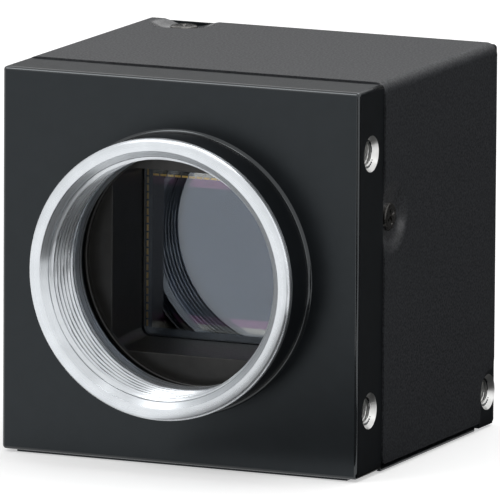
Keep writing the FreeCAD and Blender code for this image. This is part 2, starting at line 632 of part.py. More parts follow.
def data_outline(grow, y0, y1):
    """The data socket's two-step outline: a wide part and a narrow, lower part beside it."""
    wide = box(-DATA_NARROW / 2 - DATA_WIDE / 2 - grow, DATA_WIDE / 2 - DATA_NARROW / 2 + grow, y0, y1,
               DATA_HEIGHT - DATA_TALL / 2 - grow, DATA_HEIGHT + DATA_TALL / 2 + grow)
    narrow_x = DATA_WIDE / 2 - DATA_NARROW / 2
    narrow = box(narrow_x - 2 * DATA_WALL, narrow_x + DATA_NARROW + grow, y0, y1,
                 DATA_HEIGHT - DATA_TALL / 2 - grow, DATA_HEIGHT + DATA_TALL / 2 - DATA_STEP + grow)
    return wide.fuse(narrow).removeSplitter()


def data_socket():
    y0 = Y_INTERFACE_BOARD + BOARD_T
    y1 = Y_REAR - FIT
    return data_outline(0, y0, y1).cut(data_outline(-DATA_WALL, y1 - DATA_MOUTH_DEPTH, y1))


def data_contacts():
    """Moulded tongues inside the data socket that carry its contacts."""
    y1 = Y_REAR - FIT
    tongue = DATA_TALL / 5
    starts = [(-DATA_NARROW / 2 - DATA_WIDE / 2 + 3 * DATA_WALL, DATA_WIDE - 6 * DATA_WALL),
              (DATA_WIDE / 2 - DATA_NARROW / 2 + DATA_WALL, DATA_NARROW - 4 * DATA_WALL)]
    z = DATA_HEIGHT - DATA_STEP / 2
    return [box(x, x + width, y1 - DATA_MOUTH_DEPTH, y1 - 2 * DATA_WALL, z - tongue / 2, z + tongue / 2)
            for x, width in starts]


def io_shell():
    bore = IO_SHELL_R - IO_SHELL_WALL
    y0 = Y_PANEL - IO_NUT_T
    shell = rod_y(IO_X, Z_IO, IO_SHELL_R, y0, Y_SHELL_END)
    shell = shell.fuse(rod_y(IO_X, Z_IO, IO_FLANGE_R, Y_REAR, Y_REAR + IO_FLANGE_T))
    mouth = [e for e in shell.Edges if e.BoundBox.YMin > Y_SHELL_END - FIT]
    shell = shell.makeChamfer(IO_SHELL_WALL / 4, mouth)
    return shell.cut(rod_y(IO_X, Z_IO, bore, y0, Y_SHELL_END))


def io_nut():
    nut = hex_bar_y(IO_X, Z_IO, IO_NUT_FLATS, Y_PANEL - IO_NUT_T, Y_PANEL)
    return nut.cut(rod_y(IO_X, Z_IO, IO_SHELL_R + SCREW_GAP, Y_PANEL - IO_NUT_T, Y_PANEL))


def io_insert():
    return rod_y(IO_X, Z_IO, IO_SHELL_R - IO_SHELL_WALL - SCREW_GAP, Y_INTERFACE_BOARD + BOARD_T,
                 Y_SHELL_END - IO_RECESS)


def io_pins():
    face = Y_SHELL_END - IO_RECESS
    angles = [2 * math.pi * k / IO_PINS for k in range(IO_PINS)]
    return [rod_y(IO_X + IO_PIN_CIRCLE_R * math.cos(a), Z_IO + IO_PIN_CIRCLE_R * math.sin(a),
                  IO_PIN_R, face, face + IO_PIN_LENGTH) for a in angles]


def status_lamp():
    lens = rod_y(LAMP_X, Z_IO, LAMP_R, Y_INTERFACE_BOARD + BOARD_T, Y_REAR + LAMP_PROUD)
    return lens.makeChamfer(LAMP_PROUD / 2, [e for e in lens.Edges if e.BoundBox.YMin > Y_REAR])


# ---- Export -----------------------------------------------------------------------------------
NODES = {
    "front_block": front_block,
    "lens_mount_ring": lens_mount_ring,
    "sensor_mask": sensor_mask,
    "mask_screws": mask_screws,
    "glass_gasket": glass_gasket,
    "cover_glass": cover_glass,
    "sensor_package": sensor_package,
    "sensor_die": sensor_die,
    "sensor_board": lambda: board(Y_SENSOR_BOARD),
    "front_spacers": lambda: spacers(Y_SENSOR_BOARD + BOARD_T, Y_PROCESSOR_BOARD),
    "processor_board": lambda: board(Y_PROCESSOR_BOARD),
    "processor_chip": processor_chip,
    "memory_chips": memory_chips,
    "board_links": board_links,
    "rear_spacers": lambda: spacers(Y_PROCESSOR_BOARD + BOARD_T, Y_INTERFACE_BOARD),
    "interface_board": lambda: board(Y_INTERFACE_BOARD),
    "interface_screws": interface_screws,
    "top_cover": top_cover,
    "cover_screws": cover_screws,
    "base_plate": base_plate,
    "base_screws": base_screws,
    "rear_panel": rear_panel,
    "data_socket": data_socket,
    "data_contacts": data_contacts,
    "io_shell": io_shell,
    "io_nut": io_nut,
    "io_insert": io_insert,
    "io_pins": io_pins,
    "status_lamp": status_lamp,
}

os.makedirs("parts", exist_ok=True)
for name, build in NODES.items():
    shape = build()
    if isinstance(shape, list):
        shape = Part.makeCompound(shape)
    shape.translate(ROW_SHIFT)
    shape.exportStep(f"parts/{name}.step")
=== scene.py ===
"""Looks of the machine vision camera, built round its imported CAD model. Metres, in the row frame:
the lens looks along -Y, +Z is up, and the origin is the middle of the base plate's underside."""
import json
import math

import bmesh
import bpy
import numpy as np
from mathutils import Matrix, Vector


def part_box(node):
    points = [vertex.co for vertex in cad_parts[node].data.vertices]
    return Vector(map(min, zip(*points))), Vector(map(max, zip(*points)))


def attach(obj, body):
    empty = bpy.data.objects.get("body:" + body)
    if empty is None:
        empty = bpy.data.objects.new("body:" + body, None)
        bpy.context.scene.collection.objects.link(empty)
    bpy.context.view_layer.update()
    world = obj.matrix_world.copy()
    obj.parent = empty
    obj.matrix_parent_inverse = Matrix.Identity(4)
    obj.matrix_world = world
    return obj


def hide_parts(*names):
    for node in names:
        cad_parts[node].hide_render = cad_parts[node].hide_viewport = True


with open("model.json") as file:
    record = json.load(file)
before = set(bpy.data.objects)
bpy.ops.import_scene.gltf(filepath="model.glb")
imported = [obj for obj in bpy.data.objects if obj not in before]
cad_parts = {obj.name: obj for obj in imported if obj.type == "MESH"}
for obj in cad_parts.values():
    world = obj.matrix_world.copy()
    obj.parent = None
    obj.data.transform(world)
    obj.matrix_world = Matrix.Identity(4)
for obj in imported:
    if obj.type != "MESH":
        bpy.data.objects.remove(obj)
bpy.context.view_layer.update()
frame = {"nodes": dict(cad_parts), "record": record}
MM = 0.001

# ---- Lens ring: heights run back along the optical axis from its front face -------------------
LENS_PITCH = 25.4 / 32 * MM
LENS_THREAD_DEPTH = 0.43 * MM
LENS_LEAD_IN = 1.1 * MM
LENS_THREAD_END = 6.1 * MM
LENS_THREAD_FADE = 1.9 * MM
RUN_OUT_DEPTH = 0.25               # share of the thread's depth at the end of its run-out
LENS_RELIEF = 0.25 * MM
LENS_RELIEF_DEPTH = 0.12 * MM
LENS_BORE_R = 12.27 * MM
BARREL_R = 13.7 * MM
RIM_LENGTH = 0.9 * MM
RIM_CHAMFER = 0.25 * MM
RING_SOFT = 0.04 * MM              # size of the ring's softened corners
RING_SEGMENTS = 300
RING_TURN_ROWS = 16                # rows of points for each turn of the thread
RING_CONE_ROWS = 18
GROOVE_SHARE = 0.75                # a groove's width at the crest, as a share of the pitch
FLANK_SHARE = 0.625                # what its two flanks take of that, as a share of the pitch

# ---- Tapped holes -----------------------------------------------------------------------------
M3_PITCH = 0.5 * MM
M3_MAJOR_R = 1.5 * MM
M3_SINK_R = 1.9 * MM
HOLE_CLEARANCE = 0.02 * MM
CUTTER_SEGMENTS = 48
SLEEVE_SKIN = 0.012 * MM
SLEEVE_SEGMENTS = 72
SLEEVE_TURN_ROWS = 14
SLEEVE_SINK_ROWS = 12

# ---- Folded cover and its screws --------------------------------------------------------------
SHEET_T = 0.8 * MM
SEAM_FILL = 0.08 * MM
BEND_R = 1.2 * MM
BEND_STEPS = 12
SKIRT_CORNER_R = 0.5 * MM
COARSE_STEP = 2.2 * MM
FINE_STEP = 0.2 * MM
DIMPLE_R = 3.8 * MM
DIMPLE_FLOOR_R = 2.0 * MM
DIMPLE_DEPTH = 0.6 * MM
DIMPLE_MARGIN = 0.2 * MM           # how far past a dimple the points stay close together
DIMPLE_ROUND = 0.55                # shares of a smooth and of a straight slope in its wall
DIMPLE_CONE = 0.45
FACE_REACH = 0.1 * MM              # a point this near a dimple's face is on it
GLOSS_FADE = 0.4 * MM
SCREW_HOLE_R = 1.15 * MM
SCREW_HOLE_CUT = 4 * MM
SCREW_SETBACK = 2.1 * MM
SIDE_SCREW_RISE = 6.0 * MM
TOP_SCREW_OFFSET = 14.6 * MM
NOTCH_R = 2.35 * MM
NOTCH_BLEND_R = 1.2 * MM
NOTCH_STEPS = 24
NOTCH_BLEND_STEPS = 12
CUT_PAST = 1.0 * MM                # how far a cutter runs past what it cuts
LOW_HEAD = 0.35 * MM
SCREW_HEAD_R = 1.45 * MM
SCREW_R = 1.0 * MM
SCREW_TIP = 0.1 * MM
SCREW_LENGTH = 3.2 * MM
SCREW_SEGMENTS = 64
LATHE_AXIS_R = 0.001 * MM          # closes the end of a turned solid
HEAD_DOME = ((0.0, 0.45), (0.03, 0.75), (0.12, 0.95), (0.35, 1.0))   # inset in mm, height share
RECESS_TOP = (1.75 * MM, 0.34 * MM)
RECESS_FLOOR = (1.15 * MM, 0.26 * MM)
RECESS_HEIGHT = 0.3 * MM
RECESS_DEPTH = 0.28 * MM
RECESS_TURNS = (20, 110)

# ---- Soft edges -------------------------------------------------------------------------------
BODY_EDGE = 0.05 * MM
SHEET_EDGE = 0.17 * MM
MASK_EDGE = 0.14 * MM
LEDGE_EDGE = 0.03 * MM
FOOT_EDGE = 0.10 * MM
SHELL_EDGE = 0.10 * MM
NUT_EDGE = 0.12 * MM
SOCKET_EDGE = 0.06 * MM
WELD = 1e-7
FLAT_ANGLE = 0.5                   # degrees between faces that are one flat face
NORMAL_WEIGHT = 80
OFF_SIDE = (0.08, 0.16)            # how far a normal turns along Y as it leaves a side
OFF_FRONT = (0.995, 0.98)          # and as it leaves the front or back

# ---- Sensor -----------------------------------------------------------------------------------
PICTURE_EDGE = 6.72                # half height of the picture area and the band beyond it, in mm
BAND = 0.9
BAND_BLUR = 0.05
DIE_GAP = 0.75 * MM
LEDGE_SINK = 0.06 * MM
LEDGE_CLEARANCE = 0.02 * MM
PAD_LONG = 0.66 * MM
PAD_WIDE = 0.21 * MM
PAD_PITCH = 0.80 * MM
PAD_THICK = 0.03 * MM
PAD_SETBACK = 0.56 * MM
THROAT_R = 12.87 * MM
THROAT_RING_WIDTH = 0.42 * MM
THROAT_RING_LENGTH = 0.55 * MM
THROAT_RING_LIP = 0.14 * MM
THROAT_RING_SEGMENTS = 220
LIP_ROUND = 0.3
THROAT_CLEARANCE = 0.01 * MM
MASK_FACE = 10.2 * MM
COATING_START = 0.05 * MM          # depth of the filter coating behind the glass's front face
COATING_END = 0.1 * MM
COATING = 0.115                    # how metallic the glass is in its coating, and behind it
BARE_GLASS = 0.02

# ---- Camera and studio ------------------------------------------------------------------------
CAMERA_PLACE = (0.52840, -1.18967, 0.24631)
CAMERA_YAW, CAMERA_PITCH, CAMERA_ROLL = 23.95, -9.87, -0.37          # degrees
CAMERA_LENS = 918.26               # millimetres, as the sensor's width is
CAMERA_SENSOR = 36.0
CAMERA_REACH = 20
WORLD_LIGHT = 0.42
FLOOR_GLOW = 0.46
FLOOR_LO, FLOOR_HI = (-3, -3, -0.02), (3, 3, 0.0)
LAMP_TARGET = (0, 0, 0.02)
LAMPS = (("key", (-0.5, -0.6, 0.9), (0.45, 0.45), 2.4),              # name, place, size, watts
         ("top", (0.1, 0.2, 1.0), (0.6, 0.6), 4.3),
         ("edge", (0.75, -0.12, 0.35), (0.12, 0.60), 0.25))
FLAGS = (("flag_side", (0.03, 0.45, 0.0), (0.80, 0.46, 0.22), 0.06),   # name, corners, tone
         ("flag_floor", (0.01995, -0.018, 0.0003), (0.80, 0.45, 0.0008), 0.06),
         ("flag_back", (-0.45, 0.45, 0.0), (0.03, 0.46, 0.18), 0.08),
         ("flag_front", (-0.003, -0.085, 0.0005), (0.055, -0.024, 0.001), 0.10),
         ("flag_corner", (0.045, -0.30, 0.0005), (0.125, -0.085, 0.001), 0.03))

# ---- Places taken from the frame --------------------------------------------------------------
RING_LO, RING_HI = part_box("lens_mount_ring")
COVER_LO, COVER_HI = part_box("top_cover")
DIE_LO, DIE_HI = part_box("sensor_die")
GLASS_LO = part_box("cover_glass")[0]
AXIS_Z = (RING_LO.z + RING_HI.z) / 2
OPTICAL = (Matrix.Translation((0, RING_LO.y, AXIS_Z))
           @ Matrix.Rotation(math.radians(-90), 4, "X"))
MOUNTS = {m["name"]: m for m in frame["record"]["mounts"]}
TAPPED = [m for name, m in MOUNTS.items() if name.endswith("_hole")]
DIMPLES = [(Vector((side * COVER_HI.x, COVER_LO.y + SCREW_SETBACK, AXIS_Z + SIDE_SCREW_RISE)),
            Vector((-side, 0, 0))) for side in (1, -1)]
DIMPLES.append((Vector((-TOP_SCREW_OFFSET, COVER_HI.y - SCREW_SETBACK, COVER_HI.z)),
                Vector((0, 0, -1))))
SIDE_DIMPLE, TOP_DIMPLE = DIMPLES[0][0], DIMPLES[2][0]


def spread(a, b, count):
    return [a + (b - a) * i / (count - 1) for i in range(count)]


# ---- Mesh helpers -----------------------------------------------------------------------------
def add_object(name, data):
    obj = bpy.data.objects.new(name, data)
    bpy.context.collection.objects.link(obj)
    return obj


def object_from(bm, name):
    """Object with the bmesh's shape. The bmesh is freed."""
    mesh = bpy.data.meshes.new(name)
    bm.to_mesh(mesh)
    bm.free()
    return add_object(name, mesh)


def mesh_object(name, verts, faces, smooth=True):
    mesh = bpy.data.meshes.new(name)
    mesh.from_pydata([tuple(v) for v in verts], [], [tuple(f) for f in faces])
    mesh.validate()
    mesh.polygons.foreach_set("use_smooth", [smooth] * len(mesh.polygons))
    return add_object(name, mesh)


def apply_modifiers(obj):
    """Replaces the object's mesh by its evaluated one."""
    bpy.context.view_layer.update()
    evaluated = obj.evaluated_get(bpy.context.evaluated_depsgraph_get())
    mesh = bpy.data.meshes.new_from_object(evaluated)
    obj.modifiers.clear()
    obj.data = mesh
    return obj


def cut(obj, cutters):
    """Takes the cutters' volume out of the object and deletes them."""
    for cutter in cutters:
        mod = obj.modifiers.new("cut", "BOOLEAN")
        mod.object = cutter
        mod.operation = "DIFFERENCE"
        mod.solver = "EXACT"
    apply_modifiers(obj)
    for cutter in cutters:
        bpy.data.objects.remove(cutter)
    return obj


def bevelled(obj, width, segments, angle):
    """Rounds the edges that turn by more than the angle, in degrees."""
    bevel = obj.modifiers.new("edges", "BEVEL")
    bevel.width = width
    bevel.segments = segments
    bevel.limit_method = "ANGLE"
    bevel.angle_limit = math.radians(angle)
    bevel.miter_outer = "MITER_ARC"
    bevel.use_clamp_overlap = True
    bevel.harden_normals = False
    apply_modifiers(obj)
    return shade(obj, angle)


def shade(obj, angle):
    """Smooth shading with sharp edges past the angle, and normals that favour large faces."""
    mesh = obj.data
    mesh.polygons.foreach_set("use_smooth", [True] * len(mesh.polygons))
    mesh.set_sharp_from_angle(angle=math.radians(angle))
    normals = obj.modifiers.new("normals", "WEIGHTED_NORMAL")
    normals.keep_sharp = True
    normals.weight = NORMAL_WEIGHT
    return apply_modifiers(obj)


def cad_copy(node, name):
    """Copy of a CAD node with its corners welded and its flat faces whole again."""
    bm = bmesh.new()
    bm.from_mesh(frame["nodes"][node].data)
    bmesh.ops.remove_doubles(bm, verts=bm.verts, dist=WELD)
    bmesh.ops.dissolve_limit(bm, angle_limit=math.radians(FLAT_ANGLE), verts=bm.verts,
                             edges=bm.edges, use_dissolve_boundaries=False)
    obj = object_from(bm, name)
    for layer in ("custom_normal", "sharp_edge", "sharp_face"):
        if layer in obj.data.attributes:
            obj.data.attributes.remove(obj.data.attributes[layer])
    return obj


def axis_frame(origin, axis):
    """Matrix that takes local +Z to the axis, at the origin given."""
    return Matrix.Translation(origin) @ Vector(axis).to_track_quat("Z", "Y").to_matrix().to_4x4()


def groove(height, angles, pitch):
    """Depth share of a right-handed 60 degree thread, 1 at the root and 0 on the crest."""
    turn = np.mod(height / pitch - angles / (2 * math.pi), 1.0)
    off_root = np.abs(turn - 0.5) * 2
    return np.clip((GROOVE_SHARE - off_root) / FLANK_SHARE, 0.0, 1.0)


def lathe(name, profile, segments, pitch=0.0, depth=0.0):
    """Closed solid of revolution round local Z from (radius, height, thread) points.

    A thread share above 0 cuts a right-handed groove of the given pitch and depth into that
    point of an inside wall."""
    angles = np.arange(segments) * 2 * math.pi / segments
    rows = []
    for radius, height, thread in profile:
        grown = radius + thread * depth * groove(height, angles, pitch) if thread else radius
        rows.append(np.stack([grown * np.cos(angles), grown * np.sin(angles),
                              np.full(segments, height)], axis=1))
    count = len(rows)
    faces = [(i * segments + k, i * segments + (k + 1) % segments,
              (i + 1) % count * segments + (k + 1) % segments, (i + 1) % count * segments + k)
             for i in range(count) for k in range(segments)]
    return mesh_object(name, np.concatenate(rows), faces)


def cylinder(name, origin, axis, radius, length):
    """Solid cylinder from the origin along the axis."""
    bm = bmesh.new()
    bmesh.ops.create_cone(bm, cap_ends=True, segments=CUTTER_SEGMENTS, radius1=radius,
                          radius2=radius, depth=length)
    bmesh.ops.translate(bm, verts=bm.verts, vec=(0, 0, length / 2))
    bmesh.ops.transform(bm, matrix=axis_frame(origin, axis), verts=bm.verts)
    return object_from(bm, name)


def box_object(name, lo, hi):
    lo, hi = Vector(lo), Vector(hi)
    bm = bmesh.new()
    bmesh.ops.create_cube(bm, size=1.0)
    bmesh.ops.scale(bm, vec=hi - lo, verts=bm.verts)
    bmesh.ops.translate(bm, vec=(lo + hi) / 2, verts=bm.verts)
    return object_from(bm, name)


def join(name, objects):
    """One object from several, with transforms already in their meshes."""
    bm = bmesh.new()
    for obj in objects:
        bm.from_mesh(obj.data)
        bpy.data.objects.remove(obj)
    return object_from(bm, name)


def piece(obj, slot, material, *nodes):
    """Puts a finished piece on the body, with its material and the CAD nodes it stands for."""
    obj.data.materials.clear()
    obj.data.materials.append(material)
    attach(obj, "root")
    if nodes:
        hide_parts(*nodes)


# ---- Node trees -------------------------------------------------------------------------------
def colour(value):
    """RGBA from a grey level or an RGB colour."""
    if isinstance(value, (int, float)):
        return (value, value, value, 1.0)
    return (*value, 1.0)


class Tree:
    """A node tree, with short calls for the nodes used here."""

    def __init__(self, tree):
        self.nodes = tree.nodes
        self.links = tree.links

    def node(self, kind, inputs=None, **settings):
        """New node, with each input linked to the socket or set to the value given."""
        made = self.nodes.new(kind)
        for key, value in settings.items():
            setattr(made, key, value)
        for key, value in (inputs or {}).items():
            if isinstance(value, bpy.types.NodeSocket):
                self.links.new(value, made.inputs[key])
            else:
                made.inputs[key].default_value = value
        return made

    def calc(self, operation, *values):
        return self.node("ShaderNodeMath", dict(enumerate(values)), operation=operation).outputs[0]

    def remap(self, value, start=0.0, end=1.0, low=0.0, high=1.0):
        """Low to high as the value runs from start to end, and no further."""
        return self.node("ShaderNodeMapRange", {"Value": value, "From Min": start, "From Max": end,
                                                "To Min": low, "To Max": high}).outputs[0]

    def background_rays(self):
        """1 for rays that should see the white background, 0 for those that light the object."""
        rays = self.node("ShaderNodeLightPath").outputs
        seen = self.calc("MAXIMUM", rays["Is Camera Ray"], rays["Is Glossy Ray"])
        return self.calc("MAXIMUM", seen, rays["Is Transmission Ray"])


class Shader(Tree):
    """A new material's node tree."""

    def __init__(self, name):
        self.material = bpy.data.materials.new(name)
        self.material.use_nodes = True
        super().__init__(self.material.node_tree)
        self.bsdf = self.nodes["Principled BSDF"]
        coordinates = self.nodes.new("ShaderNodeTexCoord").outputs
        self.place, self.facing = coordinates["Object"], coordinates["Normal"]

    def set(self, **values):
        """Sets the shader's own sockets, with _ for each space in their names."""
        for key, value in values.items():
            self.bsdf.inputs[key.replace("_", " ")].default_value = value
        return self

    def link(self, out, socket):
        self.links.new(out, self.bsdf.inputs[socket])

    def part(self, vector, axis):
        return self.node("ShaderNodeSeparateXYZ", {"Vector": vector}).outputs[axis]

    def noise(self, scale, detail, roughness=0.5, place=None):
        return self.node("ShaderNodeTexNoise",
                         {"Vector": self.place if place is None else place, "Scale": scale,
                          "Detail": detail, "Roughness": roughness}).outputs["Fac"]

    def rings(self, scale):
        """Noise that is the same all the way round the optical axis, as a lathe leaves it."""
        centred = self.node("ShaderNodeVectorMath", {0: self.place, 1: (0.0, 0.0, AXIS_Z)},
                            operation="SUBTRACT")
        parts = self.node("ShaderNodeSeparateXYZ", {"Vector": centred.outputs[0]}).outputs
        flat = self.node("ShaderNodeCombineXYZ", {"X": parts["X"], "Z": parts["Z"]})
        radius = self.node("ShaderNodeVectorMath", {0: flat.outputs[0]}, operation="LENGTH")
        across = self.node("ShaderNodeCombineXYZ",
                           {"X": radius.outputs["Value"], "Y": parts["Y"]})
        return self.noise(scale, 3, 0.6, across.outputs[0])

    def cut_edges(self):
        """1 on rounded edges between the front or back and any other side, 0 on those sides."""
        turned = self.calc("ABSOLUTE", self.part(self.facing, "Y"))
        return self.calc("MULTIPLY", self.remap(turned, *OFF_SIDE),
                         self.remap(turned, *OFF_FRONT))

    def ramp(self, fac, low, high, start=0.3, end=0.7):
        """Colours or greys from low to high as fac runs from start to end, as most noise does."""
        made = self.node("ShaderNodeValToRGB", {"Fac": fac})
        for element, position, value in zip(made.color_ramp.elements, (start, end), (low, high)):
            element.position = position
            element.color = colour(value)
        return made.outputs["Color"]

    def mottle(self, socket, scale, detail, low, high):
        """Varies a socket from low to high in a fine noise."""
        self.link(self.ramp(self.noise(scale, detail), low, high), socket)

    def bump(self, height, distance, strength):
        made = self.node("ShaderNodeBump", {"Height": height, "Distance": distance,
                                            "Strength": strength})
        self.link(made.outputs["Normal"], "Normal")


# ---- Materials --------------------------------------------------------------------------------
def anodised_black():
    """Bead-blasted and anodised: a cool soft sheen, glossier where an edge was cut after it."""
    s = Shader("anodised_black").set(Metallic=0.0, IOR=1.45, Coat_Roughness=0.06,
                                     Specular_Tint=(0.84, 0.94, 1.0, 1.0))
    s.mottle("Base Color", 700, 4, (0.0026, 0.0032, 0.0040), (0.0050, 0.0060, 0.0074))
    grain = s.noise(6500, 3, 0.6)
    soft = s.remap(grain, 0.3, 0.7, 0.30, 0.37)
    edge = s.cut_edges()
    s.link(s.remap(edge, low=soft, high=0.13), "Roughness")
    s.link(s.remap(edge, high=0.7), "Coat Weight")
    s.bump(grain, 0.005 * MM, 0.3)
    return s.material


def moulded_black():
    """Slightly warm, half-matt black of the mask round the sensor."""
    s = Shader("moulded_black").set(Metallic=0.0, IOR=1.48)
    s.mottle("Base Color", 900, 4, (0.014, 0.0135, 0.0125), (0.023, 0.022, 0.0205))
    grain = s.noise(5200, 3, 0.6)
    s.link(s.ramp(grain, 0.30, 0.40), "Roughness")
    s.bump(grain, 0.008 * MM, 0.4)
    return s.material


def powder_coat():
    """Sandy powder coat: speckled in tone, gloss and height, smoother on edges and in dimples."""
    s = Shader("powder_coat").set(Metallic=0.0, IOR=1.5, Coat_Roughness=0.22)
    grain = s.noise(4300, 2)
    s.link(s.ramp(grain, (0.002, 0.003, 0.005), (0.027, 0.029, 0.033), 0.38, 0.62), "Base Color")
    s.link(s.ramp(grain, 0.54, 0.42), "Roughness")
    gloss = s.cut_edges()
    for centre, _ in DIMPLES:
        gap = s.node("ShaderNodeVectorMath", {0: s.place, 1: centre}, operation="DISTANCE")
        near = s.remap(gap.outputs["Value"], DIMPLE_R, DIMPLE_R - GLOSS_FADE)
        gloss = s.calc("MAXIMUM", gloss, near)
    s.link(gloss, "Coat Weight")
    s.bump(s.noise(4000, 3, 0.6), 0.016 * MM, 0.8)
    return s.material


def turned_aluminium():
    """Bare metal with the lathe's fine rings round the axis, which spread light across them."""
    s = Shader("turned_aluminium").set(Metallic=1.0, Anisotropic=0.85, Anisotropic_Rotation=0.25)
    tangent = s.node("ShaderNodeTangent", direction_type="RADIAL", axis="Y")
    s.link(tangent.outputs["Tangent"], "Tangent")
    rings = s.rings(4500)
    s.mottle("Base Color", 500, 4, (0.64, 0.67, 0.70), (0.71, 0.74, 0.77))
    s.link(s.ramp(rings, 0.24, 0.33), "Roughness")
    s.bump(rings, 0.003 * MM, 0.5)
    return s.material


def cut_thread_metal():
    """Bare metal of the tapped holes and their countersinks."""
    s = Shader("cut_thread_metal").set(Metallic=1.0)
    s.mottle("Base Color", 900, 3, (0.66, 0.66, 0.65), (0.76, 0.76, 0.75))
    s.mottle("Roughness", 1400, 3, 0.30, 0.38)
    return s.material


def sensor_silicon():
    """Smooth die: a dark picture area, violet bands above and below it, and tan at its edges."""
    s = Shader("sensor_silicon").set(Metallic=1.0)
    share = s.remap(s.part(s.place, "Z"), DIE_LO.z, DIE_HI.z)
    node = s.node("ShaderNodeValToRGB", {"Fac": share})
    picture, violet, tan = (0.020, 0.022, 0.030), (0.160, 0.050, 0.090), (0.30, 0.24, 0.17)
    span = (DIE_HI.z - DIE_LO.z) / MM
    stops = [(-PICTURE_EDGE - BAND, tan), (-PICTURE_EDGE - BAND + BAND_BLUR, violet),
             (-PICTURE_EDGE - BAND_BLUR, violet), (-PICTURE_EDGE, picture),
             (PICTURE_EDGE, picture), (PICTURE_EDGE + BAND_BLUR, violet),
             (PICTURE_EDGE + BAND - BAND_BLUR, violet), (PICTURE_EDGE + BAND, tan)]
    for end in node.color_ramp.elements:
        end.color = colour(tan)
    for z, tone in stops:
        node.color_ramp.elements.new(0.5 + z / span).color = colour(tone)
    s.link(node.outputs["Color"], "Base Color")
    s.mottle("Roughness", 1800, 2, 0.035, 0.055)
    return s.material


def coated_glass():
    """Clear window with a filter coating on its front, which mirrors a little blue-grey light."""
    s = Shader("coated_glass").set(IOR=1.2, Transmission_Weight=1.0)
    front = s.remap(s.part(s.place, "Y"), GLASS_LO.y + COATING_START, GLASS_LO.y + COATING_END,
                    COATING, BARE_GLASS)
    s.link(front, "Metallic")
    s.mottle("Base Color", 120, 2, (0.77, 0.86, 0.96), (0.80, 0.88, 0.98))
    s.mottle("Roughness", 400, 2, 0.0, 0.012)
    return s.material


def circuit_board():
    """Green solder mask over fine tracks, with a scatter of bare vias."""
    s = Shader("circuit_board").set(Metallic=0.0, IOR=1.5)
    tracks = s.node("ShaderNodeTexWave", {"Vector": s.place, "Scale": 260.0, "Distortion": 3.0,
                                          "Detail": 2.0},
                    wave_type="BANDS", bands_direction="DIAGONAL").outputs["Fac"]
    vias = s.node("ShaderNodeTexVoronoi", {"Vector": s.place, "Scale": 620.0}).outputs["Distance"]
    mask = s.ramp(tracks, (0.012, 0.090, 0.045), (0.022, 0.155, 0.075), 0.45, 0.55)
    dots = s.ramp(vias, 1.0, 0.0, 0.16, 0.20)
    mixed = s.node("ShaderNodeMix", data_type="RGBA")
    s.links.new(dots, mixed.inputs["Factor"])
    s.links.new(mask, mixed.inputs[6])
    mixed.inputs[7].default_value = (0.55, 0.50, 0.36, 1.0)
    s.link(mixed.outputs[2], "Base Color")
    s.link(s.ramp(tracks, 0.28, 0.38, 0.4, 0.6), "Roughness")
    s.bump(tracks, 0.02 * MM, 0.5)
    return s.material


def lamp_lens():
    """Pale green diffusing lens of the status lamp, finely mottled."""
    s = Shader("lamp_lens").set(Metallic=0.0, IOR=1.49, Transmission_Weight=0.25,
                                Subsurface_Weight=0.2, Subsurface_Radius=(0.001, 0.0013, 0.001))
    s.mottle("Base Color", 900, 3, (0.52, 0.62, 0.52), (0.66, 0.74, 0.66))
    s.mottle("Roughness", 2600, 3, 0.16, 0.26)
    s.bump(s.noise(3000, 2), 0.006 * MM, 0.4)
    return s.material


def plain_shader(name, low, high, rough_low, rough_high, scale, metallic=0.0, grain=0.004):
    """Two close tones and two roughnesses in a fine noise, for the small and hidden pieces."""
    s = Shader(name).set(Metallic=metallic)
    s.link(s.ramp(s.noise(scale, 4), low, high, 0.35, 0.65), "Base Color")
    s.link(s.ramp(s.noise(scale * 2.3, 3), rough_low, rough_high, 0.35, 0.65), "Roughness")
    s.bump(s.noise(scale * 5, 2), grain * MM, 0.4)
    return s.material


# ---- Lens ring and tapped holes ---------------------------------------------------------------
def lens_ring():
    """The C-mount ring with its real thread. Local Z runs back along the optical axis."""
    rim_r, length, soft = RING_HI.x, RING_HI.y - RING_LO.y, RING_SOFT
    relief_end = LENS_THREAD_END + LENS_RELIEF
    relief_r = LENS_BORE_R + LENS_RELIEF_DEPTH
    profile = [(rim_r - RIM_CHAMFER - soft, 0, 0), (rim_r - RIM_CHAMFER + soft / 2, soft / 2, 0),
               (rim_r - soft / 2, RIM_CHAMFER - soft / 2, 0), (rim_r, RIM_CHAMFER + soft, 0),
               (rim_r, RIM_LENGTH, 0), (BARREL_R, RIM_LENGTH, 0), (BARREL_R, length, 0),
               (LENS_BORE_R + soft, length, 0), (LENS_BORE_R, length - soft, 0),
               (LENS_BORE_R, relief_end + soft, 0), (LENS_BORE_R + soft / 3, relief_end, 0),
               (relief_r - soft / 2, relief_end - LENS_RELIEF_DEPTH, 0),
               (relief_r, relief_end - LENS_RELIEF_DEPTH - soft, 0),
               (relief_r, LENS_THREAD_END, 0)]
    profile += lens_thread_rows()
    profile += [(LENS_BORE_R + LENS_LEAD_IN - soft / 3, soft / 3, 0),
                (LENS_BORE_R + LENS_LEAD_IN + soft, 0, 0)]
    obj = lathe("lens_ring", profile, RING_SEGMENTS, LENS_PITCH, LENS_THREAD_DEPTH)
    obj.data.transform(OPTICAL)
    return shade(obj, angle=28)


